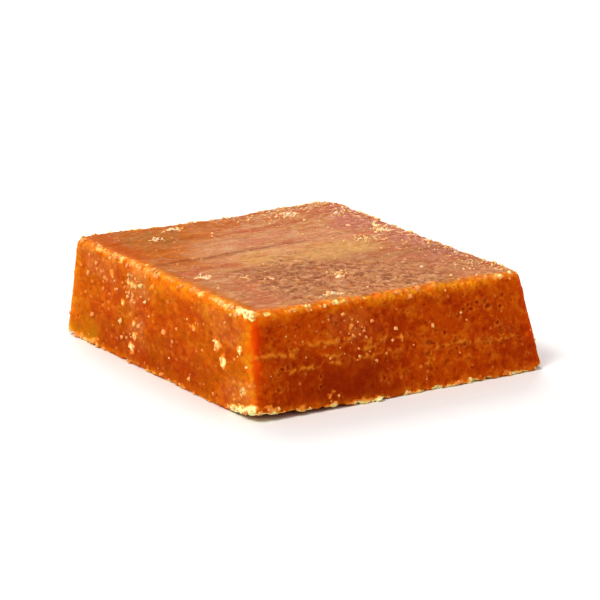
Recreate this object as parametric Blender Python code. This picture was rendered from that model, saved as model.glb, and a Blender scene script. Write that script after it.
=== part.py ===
"""Jaggery block: one moulded, tapered block of unrefined cane sugar that lies on its wide face.

Metres, +Z up. +X runs along the front side, +Y from the front side to the back side.
The origin is on the resting surface, under the middle of the block.
"""

import math
import random

import bmesh
import bpy
from mathutils import Matrix, Vector, noise

for old in list(bpy.data.objects):
    bpy.data.objects.remove(old, do_unlink=True)

# The mould: its mouth is the wide lower face, and its four walls lean in towards the top.
BASE_X = 0.1061
BASE_Y = 0.1142
HEIGHT = 0.0312
LEAN_LEFT = 0.0020
LEAN_RIGHT = 0.0055
LEAN_FRONT = 0.0055
LEAN_BACK = 0.0037

# The block left the mould a little out of true. Each corner is (side along X, side along Y).
FRONT_LEFT, FRONT_RIGHT, BACK_LEFT, BACK_RIGHT = (-1, -1), (1, -1), (-1, 1), (1, 1)
BASE_SHIFT = {
    FRONT_LEFT: Vector((0.0008, 0.0017, 0.0)),
    FRONT_RIGHT: Vector((0.0007, 0.0, 0.0)),
    BACK_LEFT: Vector((0.0, -0.0016, 0.0)),
    BACK_RIGHT: Vector((-0.0018, 0.0, 0.0)),
}
TOP_SHIFT = {
    FRONT_LEFT: Vector((0.0004, 0.0015, -0.0001)),
    FRONT_RIGHT: Vector((-0.0002, 0.0003, -0.0004)),
    BACK_LEFT: Vector((0.0005, -0.0007, 0.0005)),
    BACK_RIGHT: Vector((-0.0003, -0.0008, 0.0007)),
}

# Corners of the foot that are worn up off the surface: how high, and how far along X and along Y.
WORN_FOOT = {
    FRONT_LEFT: (0.0026, 0.050, 0.018),
    BACK_LEFT: (0.0022, 0.006, 0.009),
}
WEAR_CURVE = 1.2

# Rounding: the rims at the top and bottom, and the four upright edges seen from above.
TOP_RIM = 0.0022
BASE_RIM = 0.0010
UPRIGHT_RADIUS = {
    FRONT_LEFT: 0.0028,
    FRONT_RIGHT: 0.0034,
    BACK_LEFT: 0.0030,
    BACK_RIGHT: 0.0082,
}

# Grid laid over the box: narrow steps in the bands beside the edges, wide steps between them.
EDGE_BAND = 0.0085
EDGE_STEPS = 6
MIDDLE_STEPS_X = 16
MIDDLE_STEPS_Y = 18
RIM_STEPS = 3
MIDDLE_STEPS_Z = 5

# Cast surface: broad swells and smaller lumps, as size and height.
SWELL_SIZE = 0.032
SWELL_HEIGHT = 0.0007
LUMP_SIZE = 0.009
LUMP_HEIGHT = 0.00022

# The back rim dips a little between its two corners, where the block shrank as it cooled.
BACK_SAG = 0.0005

# Chips: from this corner, to this corner, at the top or the foot, share of the way between them,
# direction out of the block, how deep, and the ball whose surface the hollow follows.
CHIPS = (
    (FRONT_RIGHT, FRONT_RIGHT, False, 0.0, (0.37, -0.44, -0.82), 0.0029, 0.0130),
    (FRONT_RIGHT, FRONT_RIGHT, True, 0.0, (0.60, -0.40, 0.69), 0.0022, 0.0120),
    (BACK_LEFT, BACK_RIGHT, True, 0.83, (0.0, 0.65, 0.76), 0.0015, 0.0024),
    (FRONT_RIGHT, BACK_RIGHT, True, 0.55, (0.75, 0.0, 0.66), 0.0015, 0.0026),
    (FRONT_RIGHT, BACK_RIGHT, True, 0.22, (0.75, 0.0, 0.66), 0.0013, 0.0020),
)
CHIP_UNEVENNESS = 0.35
CHIP_LUMP = 0.8

# Nicks along the foot of the front and left sides: how many, and the ball that leaves the largest.
FRONT_NICKS = 12
LEFT_NICKS = 7
NICK_BALL = 0.0022
NICK_DEPTH = 0.0013
NICK_STRAY = 0.3
SMALLEST_NICK = 0.55

CASTING_COLOUR = (0.50, 0.155, 0.030, 1.0)
CASTING_ROUGHNESS = 0.5
SEED = 7


def corner(side, top):
    """A corner of the block before its edges are rounded."""
    half_x, half_y = BASE_X / 2, BASE_Y / 2
    if top:
        half_x -= LEAN_LEFT if side[0] < 0 else LEAN_RIGHT
        half_y -= LEAN_FRONT if side[1] < 0 else LEAN_BACK
    plain = Vector((side[0] * half_x, side[1] * half_y, HEIGHT if top else 0))
    return plain + (TOP_SHIFT if top else BASE_SHIFT)[side]


def foot_wear(u, v):
    """How far the worn corners lift the foot off the surface at this place."""
    lift = 0.0
    for side, (height, reach_x, reach_y) in WORN_FOOT.items():
        away_x = (1 - side[0] * u) * BASE_X / 2 / reach_x
        away_y = (1 - side[1] * v) * BASE_Y / 2 / reach_y
        lift += height * max(0.0, 1 - math.hypot(away_x, away_y)) ** WEAR_CURVE
    return lift


def between_corners(u, v, w):
    """A point inside the block, from its share of the way along X and Y (-1 to 1) and up (0 to 1)."""
    point = Vector()
    for side in UPRIGHT_RADIUS:
        share = (1 + side[0] * u) / 2 * (1 + side[1] * v) / 2
        point += share * corner(side, False).lerp(corner(side, True), w)
    point.z -= BACK_SAG * w * (1 - u * u) * (1 + v) / 2
    point.z += foot_wear(u, v) * (1 - w)
    return point


def spread(low_band, high_band, edge_steps, middle_steps):
    """Positions from 0 to 1: narrow steps in a band at each end, and wide steps between them."""
    middle = 1 - low_band - high_band
    places = [low_band * i / edge_steps for i in range(edge_steps)]
    places += [low_band + middle * i / middle_steps for i in range(middle_steps)]
    places += [1 - high_band + high_band * i / edge_steps for i in range(edge_steps + 1)]
    return places


def rounded(inset, depth, radius):
    """Moves a point of a square edge, given as its distances from both faces, on to a quarter circle."""
    if inset >= radius or depth >= radius:
        return inset, depth
    across, up = 1 - inset / radius, 1 - depth / radius
    share = max(across, up) / math.hypot(across, up)
    return radius * (1 - across * share), radius * (1 - up * share)


def block_point(u, v, w):
    """Where a point of the plain box (u and v from -1 to 1, w from 0 to 1) lies on the cast block."""
    half = min(BASE_X, BASE_Y) / 2
    ring = max(abs(u), abs(v))
    inset, height = (1 - ring) * half, w * HEIGHT
    new_inset, depth = rounded(inset, HEIGHT - height, TOP_RIM)
    height = HEIGHT - depth
    new_inset, height = rounded(new_inset, height, BASE_RIM)
    if ring > 0:
        u, v = (value * (1 - new_inset / half) / ring for value in (u, v))
    side = (1 if u > 0 else -1, 1 if v > 0 else -1)
    radius = UPRIGHT_RADIUS[side] / half
    over_u, over_v = abs(u) - (1 - radius), abs(v) - (1 - radius)
    if over_u > 0 and over_v > 0:
        share = max(over_u, over_v) / math.hypot(over_u, over_v)
        u = side[0] * (1 - radius + over_u * share)
        v = side[1] * (1 - radius + over_v * share)
    return between_corners(u, v, height / HEIGHT)


def split_along(mesh, axis, steps):
    """Cuts the edges that run along one axis into equal steps, which lays a grid over the faces."""
    runs = [edge for edge in mesh.edges if abs((edge.verts[0].co - edge.verts[1].co)[axis]) > 0.5]
    bmesh.ops.subdivide_edges(mesh, edges=runs, cuts=steps - 1, use_grid_fill=True)


def cast_block_mesh():
    """The block as it came out of the mould: a gridded box, rounded, tapered and slightly uneven."""
    band_x, band_y = EDGE_BAND / BASE_X, EDGE_BAND / BASE_Y
    places = (
        spread(band_x, band_x, EDGE_STEPS, MIDDLE_STEPS_X),
        spread(band_y, band_y, EDGE_STEPS, MIDDLE_STEPS_Y),
        spread(BASE_RIM / HEIGHT, TOP_RIM / HEIGHT, RIM_STEPS, MIDDLE_STEPS_Z),
    )
    box = bmesh.new()
    bmesh.ops.create_cube(box, size=1.0, matrix=Matrix.Translation((0.5, 0.5, 0.5)))
    for axis in range(3):
        split_along(box, axis, len(places[axis]) - 1)
    for vertex in box.verts:
        steps = [round(vertex.co[axis] * (len(places[axis]) - 1)) for axis in range(3)]
        along_x, along_y, up = (places[axis][steps[axis]] for axis in range(3))
        vertex.co = block_point(2 * along_x - 1, 2 * along_y - 1, up)
    box.normal_update()
    for vertex in box.verts:
        swell = SWELL_HEIGHT * noise.noise(vertex.co / SWELL_SIZE)
        lump = LUMP_HEIGHT * noise.noise(vertex.co / LUMP_SIZE)
        above_foot = min(1.0, vertex.co.z / (2 * BASE_RIM))
        vertex.co += vertex.normal * (swell + lump) * above_foot
    mesh = bpy.data.meshes.new("cast_block")
    box.to_mesh(mesh)
    box.free()
    return mesh


def add_chip(mesh, place, outward, depth, ball):
    """One broken-out piece: an uneven ball that reaches a given depth in from a sharp corner or edge."""
    outward = Vector(outward).normalized()
    centre = place + outward * (ball - depth)
    middle = Matrix.Translation(centre)
    made = bmesh.ops.create_icosphere(mesh, subdivisions=2, radius=ball, matrix=middle)
    for vertex in made["verts"]:
        uneven = CHIP_UNEVENNESS * depth * noise.noise(vertex.co / (CHIP_LUMP * ball))
        vertex.co += uneven * (vertex.co - centre).normalized()


def add_nicks(mesh, dice, start, end, outward, count):
    """Small chips strung unevenly along one edge."""
    for i in range(count):
        share = (i + 1 + dice.uniform(-NICK_STRAY, NICK_STRAY)) / (count + 1)
        size = dice.uniform(SMALLEST_NICK, 1.0)
        add_chip(mesh, start.lerp(end, share), outward, size * NICK_DEPTH, size * NICK_BALL)


def chips_mesh():
    """Everything that has broken off the block, as one cutter."""
    dice = random.Random(SEED)
    cutters = bmesh.new()
    for start, end, top, share, outward, depth, ball in CHIPS:
        place = corner(start, top).lerp(corner(end, top), share)
        add_chip(cutters, place, outward, depth, ball)
    near = corner(FRONT_LEFT, False)
    add_nicks(cutters, dice, near, corner(FRONT_RIGHT, False), (0, -0.72, -0.69), FRONT_NICKS)
    add_nicks(cutters, dice, near, corner(BACK_LEFT, False), (-0.72, 0, -0.69), LEFT_NICKS)
    mesh = bpy.data.meshes.new("edge_chips")
    cutters.to_mesh(mesh)
    cutters.free()
    return mesh


def casting_material():
    material = bpy.data.materials.new("cane_sugar")
    material.use_nodes = True
    shader = material.node_tree.nodes["Principled BSDF"]
    shader.inputs["Base Color"].default_value = CASTING_COLOUR
    shader.inputs["Roughness"].default_value = CASTING_ROUGHNESS
    shader.inputs["Metallic"].default_value = 0.0
    return material


parts = bpy.data.collections.new("jaggery_block_parts")
cutters = bpy.data.collections.new("cutters")
for collection in (parts, cutters):
    bpy.context.scene.collection.children.link(collection)

block = bpy.data.objects.new("jaggery_block", cast_block_mesh())
block.data.materials.append(casting_material())
block.data.shade_smooth()
parts.objects.link(block)

edge_chips = bpy.data.objects.new("edge_chips", chips_mesh())
edge_chips.hide_render = True
edge_chips.display_type = "WIRE"
cutters.objects.link(edge_chips)

cut = block.modifiers.new("chips", "BOOLEAN")
cut.operation = "DIFFERENCE"
cut.solver = "EXACT"
cut.object = edge_chips
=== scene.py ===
"""Jaggery block: a moulded block of unrefined cane sugar, with the sugar that clings to it.

Metres, +Z up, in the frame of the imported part. The block lies on its wide face.
"""

import math

import bmesh
import bpy
import numpy as np
from mathutils import Euler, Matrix, Vector, kdtree, noise


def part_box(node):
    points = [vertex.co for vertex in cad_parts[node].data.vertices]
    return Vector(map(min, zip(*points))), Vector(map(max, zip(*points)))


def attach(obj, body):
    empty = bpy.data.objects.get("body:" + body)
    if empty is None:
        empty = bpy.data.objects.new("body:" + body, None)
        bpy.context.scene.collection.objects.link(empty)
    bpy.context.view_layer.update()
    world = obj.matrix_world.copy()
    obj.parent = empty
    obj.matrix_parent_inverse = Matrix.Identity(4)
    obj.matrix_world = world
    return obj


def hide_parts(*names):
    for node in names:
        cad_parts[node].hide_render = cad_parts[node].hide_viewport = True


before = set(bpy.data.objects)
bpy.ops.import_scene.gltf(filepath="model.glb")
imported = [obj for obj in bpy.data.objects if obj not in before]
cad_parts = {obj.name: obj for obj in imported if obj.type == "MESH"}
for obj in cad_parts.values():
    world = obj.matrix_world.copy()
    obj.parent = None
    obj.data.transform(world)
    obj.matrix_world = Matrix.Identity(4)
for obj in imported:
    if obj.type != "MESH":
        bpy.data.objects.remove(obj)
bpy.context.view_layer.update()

# ---------------------------------------------------------------------------
# The cast block. Cane juice is boiled thick, stirred until it grains, and poured into a wooden
# mould, wide side up. It sets to a hard, slightly waxy block, which is knocked out and turned
# over: the mould's floor leaves its drag marks on top, and the walls leave grain, pits and layers.
# ---------------------------------------------------------------------------

# The mould, as the solid part has it: its mouth is the wide lower face, and its walls lean in.
BASE_X, BASE_Y, HEIGHT = 0.1061, 0.1142, 0.0312
LEAN_LEFT, LEAN_RIGHT, LEAN_FRONT, LEAN_BACK = 0.002, 0.0055, 0.0055, 0.0037
FRONT_LEFT, FRONT_RIGHT, BACK_LEFT, BACK_RIGHT = (-1, -1), (1, -1), (-1, 1), (1, 1)
BASE_SHIFT = {
    FRONT_LEFT: (0.0008, 0.0017, 0.0),
    FRONT_RIGHT: (0.0007, 0.0, 0.0),
    BACK_LEFT: (0.0, -0.0016, 0.0),
    BACK_RIGHT: (-0.0018, 0.0, 0.0),
}
TOP_SHIFT = {
    FRONT_LEFT: (0.0004, 0.0015, -0.0001),
    FRONT_RIGHT: (-0.0002, 0.0003, -0.0004),
    BACK_LEFT: (0.0005, -0.0007, 0.0005),
    BACK_RIGHT: (-0.0003, -0.0008, 0.0007),
}
WORN_FOOT = {FRONT_LEFT: (0.0026, 0.05, 0.018), BACK_LEFT: (0.0022, 0.006, 0.009)}
WEAR_CURVE = 1.2
TOP_RIM, BASE_RIM = 0.0022, 0.001
UPRIGHT_RADIUS = {FRONT_LEFT: 0.0028, FRONT_RIGHT: 0.0034, BACK_LEFT: 0.003, BACK_RIGHT: 0.0082}
SWELL_SIZE, SWELL_HEIGHT = 0.032, 0.0007
LUMP_SIZE, LUMP_HEIGHT = 0.009, 0.00022
BACK_SAG = 0.0005
EDGES = {
    "left": (FRONT_LEFT, BACK_LEFT),
    "front": (FRONT_LEFT, FRONT_RIGHT),
    "right": (FRONT_RIGHT, BACK_RIGHT),
    "back": (BACK_LEFT, BACK_RIGHT),
}

GRID_STEP = 0.00034
MOST_TRIANGLES = 192_000
MM = 0.001


def corner(side, top):
    """A corner of the block before its edges are rounded."""
    half_x, half_y = BASE_X / 2, BASE_Y / 2
    if top:
        half_x -= LEAN_LEFT if side[0] < 0 else LEAN_RIGHT
        half_y -= LEAN_FRONT if side[1] < 0 else LEAN_BACK
    plain = np.array((side[0] * half_x, side[1] * half_y, HEIGHT if top else 0.0))
    return plain + np.array((TOP_SHIFT if top else BASE_SHIFT)[side])


def edge_place(edge, top, share):
    """A place on one of the block's edges, and the way that the edge runs."""
    start, end = (corner(side, top) for side in EDGES[edge])
    along = end - start
    return start + share * along, along / np.linalg.norm(along)


def between_corners(u, v, w):
    """Points inside the block, from their shares along X and Y (-1 to 1) and up (0 to 1)."""
    points = np.zeros((len(u), 3))
    for side in UPRIGHT_RADIUS:
        share = (1 + side[0] * u) / 2 * (1 + side[1] * v) / 2
        upright = corner(side, False) + w[:, None] * (corner(side, True) - corner(side, False))
        points += share[:, None] * upright
    points[:, 2] -= BACK_SAG * w * (1 - u * u) * (1 + v) / 2
    for side, (height, reach_x, reach_y) in WORN_FOOT.items():
        away_x = (1 - side[0] * u) * BASE_X / 2 / reach_x
        away_y = (1 - side[1] * v) * BASE_Y / 2 / reach_y
        near = np.maximum(0.0, 1 - np.hypot(away_x, away_y))
        points[:, 2] += height * near**WEAR_CURVE * (1 - w)
    return points


def rounded(inset, depth, radius):
    """Moves points of a square edge, given as distances from both faces, on to a quarter circle."""
    across, up = 1 - inset / radius, 1 - depth / radius
    near = (across > 0) & (up > 0)
    share = np.maximum(across, up) / np.maximum(np.hypot(across, up), 1e-9)
    new_inset = np.where(near, radius * (1 - across * share), inset)
    return new_inset, np.where(near, radius * (1 - up * share), depth)


def block_points(u, v, w):
    """Where points of the plain box lie on the cast block."""
    half = min(BASE_X, BASE_Y) / 2
    ring = np.maximum(np.abs(u), np.abs(v))
    inset, height = (1 - ring) * half, w * HEIGHT
    new_inset, depth = rounded(inset, HEIGHT - height, TOP_RIM)
    new_inset, height = rounded(new_inset, HEIGHT - depth, BASE_RIM)
    shrink = (1 - new_inset / half) / np.maximum(ring, 1e-9)
    u, v = u * shrink, v * shrink
    for side, size in UPRIGHT_RADIUS.items():
        radius = size / half
        over_u, over_v = side[0] * u - (1 - radius), side[1] * v - (1 - radius)
        near = (over_u > 0) & (over_v > 0)
        share = np.maximum(over_u, over_v) / np.maximum(np.hypot(over_u, over_v), 1e-9)
        u = np.where(near, side[0] * (1 - radius + over_u * share), u)
        v = np.where(near, side[1] * (1 - radius + over_v * share), v)
    return between_corners(u, v, height / HEIGHT)


def box_grid(counts):
    """A box whose six sides are gridded: each point's step along each axis, and the squares."""
    rows, layers = counts[1] + 1, counts[2] + 1
    squares = []
    for axis in range(3):
        a, b = (axis + 1) % 3, (axis + 2) % 3
        for far in (0, 1):
            step_a, step_b = np.meshgrid(
                np.arange(counts[a] + 1), np.arange(counts[b] + 1), indexing="ij"
            )
            steps = [None, None, None]
            steps[a], steps[b], steps[axis] = step_a, step_b, far * counts[axis]
            key = (steps[0] * rows + steps[1]) * layers + steps[2]
            ring = [key[:-1, :-1], key[1:, :-1], key[1:, 1:], key[:-1, 1:]]
            ring = ring if far else ring[::-1]
            squares.append(np.stack([k.ravel() for k in ring], axis=1))
    keys, squares = np.unique(np.concatenate(squares), return_inverse=True)
    steps = np.stack([keys // (rows * layers), keys // layers % rows, keys % layers], axis=1)
    return steps, squares.reshape(-1, 4)


def new_mesh(name, points, faces):
    """A mesh from arrays of points and of equal-sided faces."""
    mesh = bpy.data.meshes.new(name)
    sides = faces.shape[1]
    mesh.vertices.add(len(points))
    mesh.vertices.foreach_set("co", points.astype(np.float32).ravel())
    mesh.loops.add(faces.size)
    mesh.loops.foreach_set("vertex_index", faces.astype(np.int32).ravel())
    mesh.polygons.add(len(faces))
    mesh.polygons.foreach_set("loop_start", np.arange(0, faces.size, sides, dtype=np.int32))
    mesh.update(calc_edges=True)
    return mesh


def new_object(name, data):
    """An object of this mesh, lamp or camera, put into the scene."""
    made = bpy.data.objects.new(name, data)
    bpy.context.scene.collection.objects.link(made)
    return made


def normals_of(mesh):
    normals = np.empty(len(mesh.vertices) * 3, np.float32)
    mesh.vertex_normals.foreach_get("vector", normals)
    return normals.reshape(-1, 3).astype(float)


def uneven(size, octaves=1, shift=0.0, only=None):
    """Smooth random values on the skin, about -0.5 to 0.5, over lumps of this size in metres."""
    chosen = np.arange(len(skin)) if only is None else np.flatnonzero(only)
    places = (skin[chosen] / np.array(size) + shift).tolist()
    values = np.zeros(len(skin))
    if octaves == 1:
        values[chosen] = [noise.noise(place) for place in places]
    else:
        values[chosen] = [noise.fractal(place, 0.8, 2.1, octaves) for place in places]
    return values


def soft_step(value, low, high):
    """0 below low, 1 above high, and smooth between them."""
    share = np.clip((value - low) / (high - low), 0.0, 1.0)
    return share * share * (3 - 2 * share)


def band(value, low, high, fade):
    """1 from low to high, fading to 0 outside."""
    return soft_step(value, low - fade, low) * (1 - soft_step(value, high, high + fade))


def hill(gap, reach=1.0):
    """1 where there is no gap, falling off smoothly over this reach."""
    return np.exp(-((gap / reach) ** 2))


counts = [round(size / GRID_STEP) for size in (BASE_X, BASE_Y, HEIGHT)]
steps, squares = box_grid(counts)
share_x, share_y, share_z = (steps / np.array(counts)).T
skin = block_points(2 * share_x - 1, 2 * share_y - 1, share_z)
outward = normals_of(new_mesh("smooth_block", skin, squares))
above_foot = np.clip(skin[:, 2] / (2 * BASE_RIM), 0, 1)
swell = SWELL_HEIGHT * uneven(SWELL_SIZE) + LUMP_HEIGHT * uneven(LUMP_SIZE)
skin += outward * (swell * above_foot)[:, None]

# Where each point is, and how far it is from the edges of its side, in mm.
x, y, z = (skin / MM).T
from_left, from_right = share_x * BASE_X / MM, (1 - share_x) * BASE_X / MM
from_front, from_back = share_y * BASE_Y / MM, (1 - share_y) * BASE_Y / MM
from_foot, from_top = share_z * HEIGHT / MM, (1 - share_z) * HEIGHT / MM
in_x = np.minimum(from_left, from_right)
in_y = np.minimum(from_front, from_back)
wall_gap = np.minimum(in_x, in_y)
top_edge, foot_edge, upright_edge = from_top + wall_gap, from_foot + wall_gap, in_x + in_y

# How much of each point is on each side of the block, from 0 to 1, and each side's two axes.
on_top, on_foot, on_left, on_right, on_front, on_back = (
    soft_step(facing * outward[:, axis], 0.45, 0.85)
    for facing, axis in ((1, 2), (-1, 2), (-1, 0), (1, 0), (-1, 1), (1, 1))
)
on_walls = np.clip(on_left + on_right + on_front + on_back, 0, 1)
on_side = {"top": on_top, "left": on_left, "right": on_right, "front": on_front, "back": on_back}
ways = {"top": (x, y), "left": (y, z), "right": (y, z), "front": (x, z), "back": (x, z)}
is_top, is_wall, is_foot = on_top > 0.01, on_walls > 0.01, on_foot > 0.01

# Relief, in mm. All over: the grain of the set sugar.
relief = 0.12 * uneven(0.0034, 2) + 0.1 * uneven(0.0012, 2, 51.0)

# Top: long drag marks of the mould's floor, grooves, and a coarse field where the sugar stuck.
drag = uneven((0.03, 0.0021, 0.02), 2, 5.0, is_top)
drag += 0.6 * uneven((0.014, 0.0009, 0.02), 1, 9.0, is_top)
dragged = soft_step(uneven((0.03, 0.012, 0.02), 2, 57.0, is_top), -0.3, 0.4)
coarse = soft_step(-y + 12 * uneven(0.012, 3, 3.0, is_top), -4.0, 18.0)
coarse *= soft_step(x + 12 * uneven(0.01, 2, 13.0, is_top), -46.0, -26.0)
smoother_right = soft_step(x + 0.4 * y + 10 * uneven(0.012, 2, 19.0, is_top), -6.0, 22.0)
coarse *= 1 - 0.68 * smoother_right
relief += on_top * (1 - 0.7 * coarse) * (0.03 + 0.13 * dragged) * drag
# Grooves: place along Y, slope, start and end along X, half width and depth, in mm.
GROOVES = (
    (12.4, 0.035, -40, 6, 0.62, 0.42),
    (10.7, 0.045, -46, -8, 0.5, 0.26),
    (14.1, 0.03, -14, 26, 0.45, 0.16),
    (0.2, 0.03, -45, -32, 0.7, 0.18),
    (25, 0.02, -20, 30, 0.5, 0.1),
    (33.5, 0.01, -30, 10, 0.45, 0.1),
)
DEEPEST_GROOVE = 0.42
# The grooves' painted shade, a little wider than the grooves.
groove = np.zeros(len(skin))
wander = 0.8 * uneven(0.011, 1, 21.0, is_top)
ragged = np.clip(0.75 + 1.1 * uneven((0.007, 0.02, 0.02), 2, 2.0, is_top), 0, 1)
for place, slope, start, end, half_width, depth in GROOVES:
    gap = (y - place - slope * (x + 10) - wander) / half_width
    line = on_top * hill(gap) * band(x, start, end, 9.0) * ragged
    relief -= depth * line
    groove = np.maximum(groove, hill(gap, 1.6) * line**0.25 * depth / DEEPEST_GROOVE)
is_rough = on_top * coarse > 0.01
warp = np.stack([uneven(0.0026, 2, 16.0 + k, is_rough) for k in range(3)], axis=1)
warped = (skin + 0.0024 * warp)[is_rough]


def domes(size, shift):
    """Rounded lumps of this size: 1 at the middle of each, 0 in the gaps."""
    away = [noise.voronoi(place)[0][0] for place in (warped / np.array(size) + shift).tolist()]
    return np.clip(1.15 - 1.7 * np.array(away), 0, 1)


lumps = np.zeros(len(skin))
lumps[is_rough] = np.maximum(
    domes((0.0034, 0.003, 0.003), 0.0), 0.7 * domes((0.002, 0.0018, 0.0018), 5.0)
)
relief += on_top * coarse * (0.38 * lumps + 0.36 * uneven(0.0044, 3, 31.0, is_top))

# Walls: thin wavering ledges where one pour set on another. Each one's wall, height, two ends in
# mm, and strength.
LEDGES = (
    ("front", 13.6, -43.5, -1, 1),
    ("front", 18.4, -51, -38, 1),
    ("front", 20, -36, -18, 1),
    ("front", 17.6, -12, 3, 1),
    ("front", 15.8, -26, -8, 1),
    ("front", 12, 12, 40, 1),
    ("front", 8, 4, 26, 1),
    ("left", 9, -30, 18, 0.5),
    ("left", 20, -46, -12, 0.5),
    ("left", 14, 18, 46, 0.5),
    ("right", 12.5, -40, 6, 1),
    ("right", 17, -8, 44, 1),
    ("right", 22, -34, -6, 1),
    ("back", 10, -36, 12, 1),
    ("back", 16.5, -10, 40, 1),
    ("back", 21, -42, -14, 1),
)
LEDGE_THICKNESS, LEDGE_HEIGHT = 0.75, 0.26
waver = 1.3 * uneven((0.011, 0.011, 0.02), 3, 41.0, is_wall)
broken_line = np.clip(0.42 + 2.6 * uneven(0.0018, 2, 44.0, is_wall), 0, 1.4)
ledge = np.zeros(len(skin))
for wall, level, start, end, strength in LEDGES:
    line = hill(z - level - waver, LEDGE_THICKNESS) * band(ways[wall][0], start, end, 4.0)
    ledge += strength * on_side[wall] * line * broken_line
relief += LEDGE_HEIGHT * ledge

# Edges: they crumble as the block leaves the mould.
at_top_edge, at_foot_edge = hill(top_edge, 1.5), hill(foot_edge, 1.3)
at_upright = hill(upright_edge, 1.8) * on_walls
is_edge = at_top_edge + at_foot_edge + at_upright > 0.01
crumble = uneven(0.0034, 3, 61.0, is_edge) + 0.4 * uneven(0.0014, 1, 67.0, is_edge)
relief += (0.36 * at_top_edge + 0.45 * at_foot_edge + 0.15 * at_upright) * (crumble - 0.15)

# Pits: bubbles that broke at the mould's wall. Each is a small hollow with a raised lip.
# Each field: its side, its reach both ways in mm, how many pits, and the smallest radius.
PIT_FIELDS = (
    ("front", 8, 44, 10, 17.5, 24, 0.6),
    ("front", 20, 37, 18.5, 25, 9, 0.6),
    ("front", -46, 48, 3, 28, 36, 0.4),
    ("left", -50, 50, 3, 28, 20, 0.34),
    ("right", -48, 44, 3, 28, 60, 0.44),
    ("back", -46, 42, 3, 28, 60, 0.44),
    ("top", -44, 44, -46, -8, 34, 0.4),
    ("top", -44, 44, -8, 48, 12, 0.34),
)
# Each side: the axis that it faces along, and a place on that axis to look for it.
SIDE_DEPTHS = {
    "front": (1, -0.055), "back": (1, 0.055),
    "left": (0, -0.05), "right": (0, 0.048),
    "top": (2, 0.032),
}
dice = np.random.default_rng(11)


def finder_of(points):
    tree = kdtree.KDTree(len(points))
    for i, place in enumerate(points):
        tree.insert(place, i)
    tree.balance()
    return tree


finder = finder_of(skin)


def skin_point(side, a, b):
    """The skin's point at a place on one side of the block, in mm along it and up it, or across."""
    axis, depth = SIDE_DEPTHS[side]
    place = np.insert(np.array((a, b)) * MM, axis, depth)
    for _ in range(5):
        found, index, _ = finder.find(place)
        place[axis] = found[axis]
    return index


pitted, lipped = np.zeros(len(skin)), np.zeros(len(skin))
for side, low_a, high_a, low_b, high_b, count, smallest in PIT_FIELDS:
    for _ in range(count):
        index = skin_point(side, dice.uniform(low_a, high_a), dice.uniform(low_b, high_b))
        radius = smallest + 0.45 * dice.random() ** 2.0
        depth = radius * dice.uniform(0.28, 0.5)
        squash, tilt = dice.uniform(0.7, 1.0), dice.uniform(0, math.pi)
        for place, i, _ in finder.find_range(skin[index], 2.4 * radius * MM):
            away = (np.array(place) - skin[index]) / MM
            a, b = [away[k] for k in range(3) if k != SIDE_DEPTHS[side][0]]
            a, b = a * math.cos(tilt) + b * math.sin(tilt), b * math.cos(tilt) - a * math.sin(tilt)
            share = math.hypot(a * squash, b / squash) / radius
            hollow = max(0.0, 1 - share * share) ** 1.3
            lip = math.exp(-(((share - 1.2) / 0.3) ** 2)) * (0.6 + 0.4 * math.sin(4 * a))
            relief[i] += 0.2 * radius * lip - depth * hollow
            pitted[i] = max(pitted[i], hollow)
            lipped[i] = max(lipped[i], lip)

# Crust: dry, pale sugar that builds up along the rims, at the foot and in small patches.
# Each patch: its two places on its side, its half width and half height in mm, how full it is.
PATCHES = {
    "left": (
        (-33.6, 18.4, 1.6, 1.7, 0.95),
        (-37.4, 14, 2, 1.9, 1.00),
        (-45.7, 20, 1.5, 1.4, 0.95),
        (-48.6, 8.4, 1.5, 1.4, 0.9),
        (-43, 5.5, 2.6, 1.2, 0.58),
        (14.3, 5.2, 1.5, 1.7, 0.92),
        (12.6, 9.2, 1.4, 1.3, 0.9),
        (13, 12.8, 1.3, 1.1, 0.88),
        (17.6, 11.8, 1.4, 1, 0.6),
        (18.4, 25, 1.2, 0.9, 0.9),
        (21.1, 17.7, 1, 0.9, 0.86),
        (13.8, 24.6, 1.3, 0.9, 0.66),
        (14.8, 21.8, 1.2, 0.9, 0.62),
        (3.6, 26.8, 1.3, 1, 0.66),
        (29.2, 25.6, 1.2, 0.9, 0.58),
        (31.4, 23.4, 1, 0.8, 0.56),
        (-21, 20.1, 1.1, 0.9, 0.64),
    ),
    "top": (
        (23.4, 42.6, 3.6, 1.4, 0.8),
        (38.4, 35.7, 1.6, 1.4, 0.66),
        (-19.6, 44.7, 2, 1.4, 0.72),
        (-29.6, 36.7, 1.6, 1.2, 0.66),
        (-41.6, -9.3, 2.4, 1.2, 0.74),
        (39.4, 10.7, 1.4, 1.6, 0.64),
        (-18, -45, 2, 1, 0.7),
        (33, 22, 1.5, 0.9, 0.66),
        (41, 17, 1, 1.3, 0.66),
        (33.5, 1, 1.3, 0.9, 0.66),
        (30.5, -11, 1.3, 1, 0.64),
        (-31, -17, 1.3, 1.3, 0.62),
        (-24, -21, 1.5, 1.1, 0.62),
        (-5.6, -29.4, 1.6, 1.2, 0.66),
    ),
    "front": (
        (-17, 22.6, 5, 2.4, 0.36),
        (6.9, 19.2, 1, 0.8, 0.66),
        (1.2, 17.6, 1, 0.8, 0.64),
        (-25, 3.2, 2.4, 1.4, 0.66),
    ),
    "right": ((20, 20, 2, 1.6, 0.66), (-28, 9, 1.6, 2, 0.62)),
    "back": ((-20, 12, 1.8, 1.6, 0.64), (26, 22, 2.4, 1.4, 0.62)),
}
SOLID_FROM = 0.85
patchy = np.clip(0.7 + 1.3 * uneven(0.011, 2, 117.0, is_edge), 0.1, 1.1)
dry = np.zeros(len(skin))
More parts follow.
